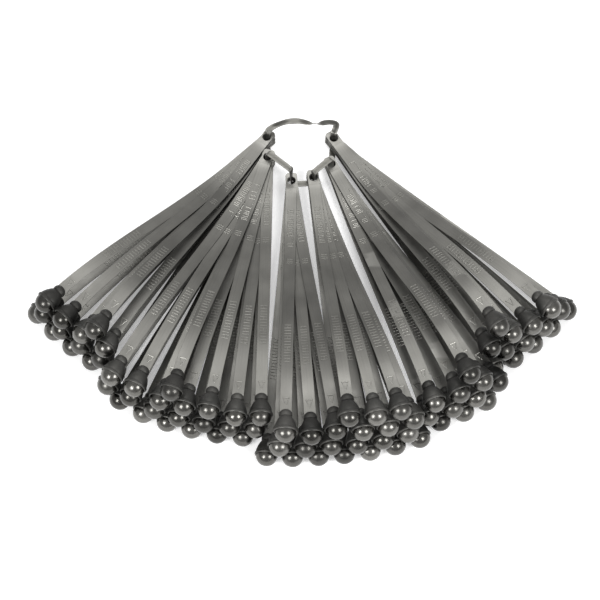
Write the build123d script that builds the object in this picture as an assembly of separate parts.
from build123d import *
import math
import os

# A fanned bundle of flat tinplate strap seals with ball locks, strung on a flat
# carrier band.  Millimetres, +Z up, the bundle lies on z = 0.  The origin is the
# middle of the band's hand opening, at the height of the surface it lies on.
# Angles are measured from -Y towards +X, so the fan is centred on -Y.

# ---- one seal ----
SEAL_LENGTH = 216.0          # tongue tip to dome tip, with the strap straight
STRAP_WIDTH = 7.8
STRAP_THICKNESS = 0.3
TONGUE_CORNER = 1.8          # radius of the tongue's two corners
HOLE_RADIUS = 3.0
HOLE_FROM_TIP = 5.8
TAIL_WIDTH = 5.0             # the tail inside the ball
TAIL_HOOK = 1.6              # how far the tail's end turns up behind the slot

# ---- the ball lock; its axis runs along the strap, zero at the rim's mid plane ----
RIM_RADIUS = 8.0
DOME_RADIUS = 7.0
COLLAR_RADIUS = 4.35
COLLAR_FRONT = -14.2         # where the collar starts, on the strap's side
COLLAR_END = -9.4
SHEET = 0.5                  # wall of the cap and the dome
CRIMP_HALF = 0.95            # half the rim bead's length
SLOT_WIDTH = 8.0
SLOT_ROOM = 0.9              # from the strap's mid plane to the top of the slot
TAIL_END = -7.4
LOCK_RING_WIRE = 0.5
DOME_TIP = CRIMP_HALF + DOME_RADIUS

# ---- the bundle ----
RING_RADIUS = 24.5           # from the opening's middle to each post of the band
BAND_WIDTH = 4.4
BAND_THICKNESS = 0.6
POST_FROM_TIP = 5.2          # the band stands nearer the tip than the hole's middle
STACK_PITCH = 0.75           # from one strap to the next on the band
STACK_BASE = 1.2             # middle of the lowest strap
HEAD_ROOM = 5.5              # straight post above the topmost strap
ARC_RISE = 13.5              # how far the free arc of the band stands behind the origin
BALL_SPACING = 16.35         # least distance between the axes of two balls
BEND_START = 30.0            # where a strap leaves its level stack, from the post
BEND_END_BEFORE_RIM = 17.0   # where it is level again

# ---- the fan: polar angles of the balls, in degrees ----
FLOOR_ROW = (-54.6, 53.6)    # the first ball, and where the last may stand
THIRD_ROW = [-52.0, -47.5, -42.9, -38.0, -33.4, -29.0, -24.4, -20.1, -15.8, -11.2, -6.8, -2.4,
             1.9, 6.0, 10.4, 14.6, 19.0, 23.4, 28.0, 32.4, 37.0, 41.6, 46.2, 50.9]
TOP_BALLS = [-40.4, -22.4, 8.2, 12.7, 16.9, 30.2, 39.3]
# column: (angle of its post, polar angle where its share of the fan ends, free seals)
COLUMNS = {
    "a": (-110.0, -34.9, 2),
    "b": (-66.0, -6.4, 2),
    "c": (-14.0, 7.0, 1),
    "d": (22.0, 22.0, 2),
    "e": (62.0, 35.5, 2),
    "f": (108.0, 90.0, 2),
}
GROUPS = {"a": "left_wing", "b": "middle", "c": "middle", "d": "middle",
          "e": "middle", "f": "right_wing"}

RIM_FROM_POST = SEAL_LENGTH - POST_FROM_TIP - DOME_TIP


def on_circle(radius, angle):
    """Point of a circle round the origin, the angle in degrees from -Y towards +X."""
    turn = math.radians(angle)
    return radius * math.sin(turn), -radius * math.cos(turn)


def column_of(polar):
    for name, (post_angle, last, free) in COLUMNS.items():
        if polar <= last:
            return name
    return "f"


def rim_radius_at(polar, reach):
    """Distance from the origin to a rim that stands `reach` from its post."""
    x, y = on_circle(RING_RADIUS, COLUMNS[column_of(polar)][0])
    ex, ey = on_circle(1.0, polar)
    along = x * ex + y * ey
    return along + math.sqrt(along ** 2 - RING_RADIUS ** 2 + reach ** 2)


def side_distance(first, second):
    """Distance along the fan's arc between the axes of two balls at floor level."""
    radius = min(rim_radius_at(first, RIM_FROM_POST - 3), rim_radius_at(second, RIM_FROM_POST - 3))
    return radius * math.radians(abs(first - second))


def resting_height(polar, placed):
    """Height of a ball's axis when it is let down onto the balls already placed."""
    height = RIM_RADIUS
    for other, other_height in placed:
        side = side_distance(polar, other)
        if side < BALL_SPACING:
            height = max(height, other_height + math.sqrt(BALL_SPACING ** 2 - side ** 2))
    return height


def pile_up():
    """Every ball of the bundle as (polar angle, height), row by row from the floor."""
    floor = [FLOOR_ROW[0]]
    while floor[-1] < FLOOR_ROW[1]:
        step = BALL_SPACING / rim_radius_at(floor[-1] + 2.0, RIM_FROM_POST - 3)
        floor.append(floor[-1] + math.degrees(step) + 0.08)
    second = [(left + right) / 2 for left, right in zip(floor, floor[1:])]
    placed = []
    for row in (floor, second, THIRD_ROW, TOP_BALLS):
        for polar in row:
            placed.append((polar, resting_height(polar, placed)))
    return placed


def lay_out():
    """All seals, each a dict; within a column the stack follows the balls' heights."""
    seals = []
    piled = pile_up()
    for name, (post_angle, last, free) in COLUMNS.items():
        x, y = on_circle(RING_RADIUS, post_angle)
        own = sorted((round(height, 3), polar) for polar, height in piled if column_of(polar) == name)
        for level, (height, polar) in enumerate(own):
            stack = STACK_BASE + level * STACK_PITCH
            rise = height - stack
            span = RIM_FROM_POST - BEND_END_BEFORE_RIM - BEND_START
            reach = RIM_FROM_POST - 0.6 * rise ** 2 / span
            radius = rim_radius_at(polar, reach)
            rim_x, rim_y = on_circle(radius, polar)
            azimuth = math.degrees(math.atan2(rim_x - x, y - rim_y))
            seals.append({"column": name, "level": level, "polar": polar, "post": (x, y),
                          "stack": stack, "height": height, "reach": reach, "azimuth": azimuth,
                          "free": level >= len(own) - free})
    return seals


def stack_top(seals, column):
    return max(seal["stack"] for seal in seals if seal["column"] == column)


# ---- pieces of one seal ----
def strap(seal):
    """Strap with tongue, hole, bend and hooked tail, in the seal's own frame: +X runs
    from the post to the ball and z is the bundle's own height."""
    low = seal["stack"] - STRAP_THICKNESS / 2
    high = seal["height"] - STRAP_THICKNESS / 2
    tip = -POST_FROM_TIP
    bend_end = seal["reach"] - BEND_END_BEFORE_RIM
    third = (bend_end - BEND_START) / 3
    tail = seal["reach"] + TAIL_END
    up = STRAP_THICKNESS

    def bend(lift):
        return Bezier((BEND_START, 0, low + lift), (BEND_START + third, 0, low + lift),
                      (bend_end - third, 0, high + lift), (bend_end, 0, high + lift))

    outline = [
        Line((tip, 0, low), (BEND_START, 0, low)),
        bend(0),
        Line((bend_end, 0, high), (tail, 0, high)),
        Line((tail, 0, high), (tail, 0, high + TAIL_HOOK)),
        Line((tail, 0, high + TAIL_HOOK), (tail - up, 0, high + TAIL_HOOK)),
        Line((tail - up, 0, high + TAIL_HOOK), (tail - up, 0, high + up)),
        Line((tail - up, 0, high + up), (bend_end, 0, high + up)),
        bend(up),
        Line((BEND_START, 0, low + up), (tip, 0, low + up)),
        Line((tip, 0, low + up), (tip, 0, low)),
    ]
    side = make_face(outline)
    body = extrude(side, STRAP_WIDTH / 2, dir=(0, 1, 0), both=True)
    corners = body.edges().filter_by(Axis.Z).sort_by(Axis.X)[:2]
    body = fillet(corners, TONGUE_CORNER)
    hole_x = HOLE_FROM_TIP - POST_FROM_TIP
    body -= Pos(hole_x, 0, seal["stack"]) * Cylinder(HOLE_RADIUS, 2)
    side_cut = (STRAP_WIDTH - TAIL_WIDTH) / 2
    tail_length = TAIL_END - COLLAR_END
    for hand in (-1, 1):
        middle = Pos(tail - tail_length / 2, hand * (TAIL_WIDTH + side_cut) / 2, high)
        body -= middle * Box(tail_length, side_cut, 8)
    return body


def turned(profile):
    """Solid of revolution about X from a closed outline in the XZ plane."""
    return revolve(make_face(profile), Axis.X, 360)


def ball_cap():
    """Conical cap with the split collar that grips the strap, and the crimped rim bead."""
    front = COLLAR_FRONT
    groove = RIM_RADIUS - SHEET
    outer = [
        Line((front, 0, 0), (front, 0, 0.6)),
        ThreePointArc((front, 0, 0.6), (front + 0.85, 0, 3.1), (front + 2.9, 0, COLLAR_RADIUS)),
        Line((front + 2.9, 0, COLLAR_RADIUS), (COLLAR_END, 0, COLLAR_RADIUS)),
        Line((COLLAR_END, 0, COLLAR_RADIUS), (COLLAR_END + 0.2, 0, 4.0)),
        ThreePointArc((COLLAR_END + 0.2, 0, 4.0), (-5.2, 0, 6.35), (-1.2, 0, 7.5)),
        Line((-1.2, 0, 7.5), (-CRIMP_HALF, 0, RIM_RADIUS - 0.3)),
        ThreePointArc((-CRIMP_HALF, 0, RIM_RADIUS - 0.3), (0, 0, RIM_RADIUS),
                      (CRIMP_HALF, 0, RIM_RADIUS - 0.3)),
        Line((CRIMP_HALF, 0, RIM_RADIUS - 0.3), (CRIMP_HALF, 0, DOME_RADIUS + 0.1)),
        Line((CRIMP_HALF, 0, DOME_RADIUS + 0.1), (0.45, 0, DOME_RADIUS + 0.1)),
        Line((0.45, 0, DOME_RADIUS + 0.1), (0.45, 0, groove)),
        Line((0.45, 0, groove), (-0.5, 0, groove)),
        Line((-0.5, 0, groove), (-0.5, 0, 6.9)),
        ThreePointArc((-0.5, 0, 6.9), (-4.9, 0, 5.8), (-8.6, 0, 3.6)),
        Line((-8.6, 0, 3.6), (-8.6, 0, 0)),
        Line((-8.6, 0, 0), (front, 0, 0)),
    ]
    cap = turned(outer)
    slot_low = -STRAP_THICKNESS / 2
    slot_length = -8.0 - (front - 1)
    slot = Pos(front - 1 + slot_length / 2, 0, (slot_low + SLOT_ROOM) / 2)
    return cap - slot * Box(slot_length, SLOT_WIDTH, SLOT_ROOM - slot_low)


def ball_dome():
    """Hemispherical dome with the flange that the cap's rim is crimped over."""
    flange = RIM_RADIUS - SHEET - 0.02
    inner = DOME_RADIUS - SHEET
    foot = CRIMP_HALF
    slant = math.sqrt(0.5)
    outline = [
        Line((-0.5, 0, inner), (-0.5, 0, flange)),
        Line((-0.5, 0, flange), (0.45, 0, flange)),
        Line((0.45, 0, flange), (0.45, 0, DOME_RADIUS)),
        Line((0.45, 0, DOME_RADIUS), (foot, 0, DOME_RADIUS)),
        ThreePointArc((foot, 0, DOME_RADIUS),
                      (foot + DOME_RADIUS * slant, 0, DOME_RADIUS * slant),
                      (foot + DOME_RADIUS, 0, 0)),
        Line((foot + DOME_RADIUS, 0, 0), (foot + inner, 0, 0)),
        ThreePointArc((foot + inner, 0, 0), (foot + inner * slant, 0, inner * slant),
                      (foot, 0, inner)),
        Line((foot, 0, inner), (-0.5, 0, inner)),
    ]
    return turned(outline)


def lock_ring(x, radius):
    """Open snap ring of round wire round the ball's axis."""
    ring = Pos(x, 0, 0) * Rot(0, 90, 0) * Torus(radius, LOCK_RING_WIRE)
    gap = Pos(x, 0, -radius) * Box(3 * LOCK_RING_WIRE, 2.0, 4 * LOCK_RING_WIRE)
    return ring - gap


# ---- placing ----
def seal_frame(seal):
    x, y = seal["post"]
    return Pos(x, y, 0) * Rot(0, 0, seal["azimuth"] - 90)


def ball_frame(seal):
    return seal_frame(seal) * Pos(seal["reach"], 0, seal["height"])


def carrier_band(seals):
    """Flat band in one closed loop: up and down through the six stacks, over and under
    between them, and in a free arc behind the hand opening."""
    posts = {}
    names = list(COLUMNS)
    tops = {name: stack_top(seals, name) + HEAD_ROOM for name in names}
    over = {"ends": max(tops["a"], tops["f"]), "bc": max(tops["b"], tops["c"]),
            "de": max(tops["d"], tops["e"])}
    height_of = {"a": over["ends"], "b": over["bc"], "c": over["bc"], "d": over["de"],
                 "e": over["de"], "f": over["ends"]}
    band = None
    for name in names:
        angle = COLUMNS[name][0]
        posts[name] = on_circle(RING_RADIUS, angle)
        top = height_of[name] + BAND_THICKNESS
        place = Pos(posts[name][0], posts[name][1], top / 2) * Rot(0, 0, angle - 90)
        post = place * Box(BAND_WIDTH, BAND_THICKNESS, top)
        band = post if band is None else band + post
    runs = [("a", "b", 0.0), ("b", "c", over["bc"]), ("c", "d", 0.0),
            ("d", "e", over["de"]), ("e", "f", 0.0)]
    for first, second, low in runs:
        dx = posts[second][0] - posts[first][0]
        dy = posts[second][1] - posts[first][1]
        middle = ((posts[first][0] + posts[second][0]) / 2, (posts[first][1] + posts[second][1]) / 2)
        place = Pos(middle[0], middle[1], low + BAND_THICKNESS / 2)
        turn = Rot(0, 0, math.degrees(math.atan2(dy, dx)))
        band += place * turn * Box(math.hypot(dx, dy) + BAND_THICKNESS, BAND_WIDTH, BAND_THICKNESS)
    arc = ThreePointArc((*posts["a"], over["ends"]), (0, ARC_RISE, over["ends"]),
                        (*posts["f"], over["ends"]))
    centre = arc.arc_center
    half = BAND_WIDTH / 2
    rings = Circle(arc.radius + half) - Circle(arc.radius - half)
    wedge_reach = 4 * arc.radius
    first_ray = (Vector(*posts["a"], over["ends"]) - centre).normalized() * wedge_reach
    last_ray = (Vector(*posts["f"], over["ends"]) - centre).normalized() * wedge_reach
    wedge = Polygon((0, 0), (last_ray.X, last_ray.Y), (first_ray.X, first_ray.Y), align=None)
    free_arc = extrude(rings & wedge, BAND_THICKNESS)
    return band + Pos(centre.X, centre.Y, over["ends"]) * free_arc


def write(name, solids):
    shape = solids[0] if len(solids) == 1 else Compound(children=solids)
    shape.label = name
    export_step(shape, f"parts/{name}.step")


def main():
    os.makedirs("parts", exist_ok=True)
    seals = lay_out()
    cap = ball_cap()
    dome = ball_dome()
    rings = [lock_ring(-4.4, 4.6), lock_ring(-1.6, 5.4)]
    write("carrier_band", carrier_band(seals).solids())

    groups = {}
    free_count = 0
    for seal in seals:
        if seal["free"]:
            free_count += 1
            group = f"seal_{free_count:02d}"
        else:
            group = GROUPS[seal["column"]]
        pieces = groups.setdefault(group, {"strap": [], "ball_cap": [], "ball_dome": [],
                                           "lock_ring": []})
        pieces["strap"] += (seal_frame(seal) * strap(seal)).solids()
        pieces["ball_cap"] += (ball_frame(seal) * cap).solids()
        pieces["ball_dome"] += (ball_frame(seal) * dome).solids()
        for ring in rings:
            pieces["lock_ring"] += (ball_frame(seal) * ring).solids()
    for group, pieces in groups.items():
        for piece, solids in pieces.items():
            plural = "s" if len(solids) > 1 else ""
            write(f"{group}_{piece}{plural}", solids)
    print(len(seals), "seals,", free_count, "of them free to lift")


main()
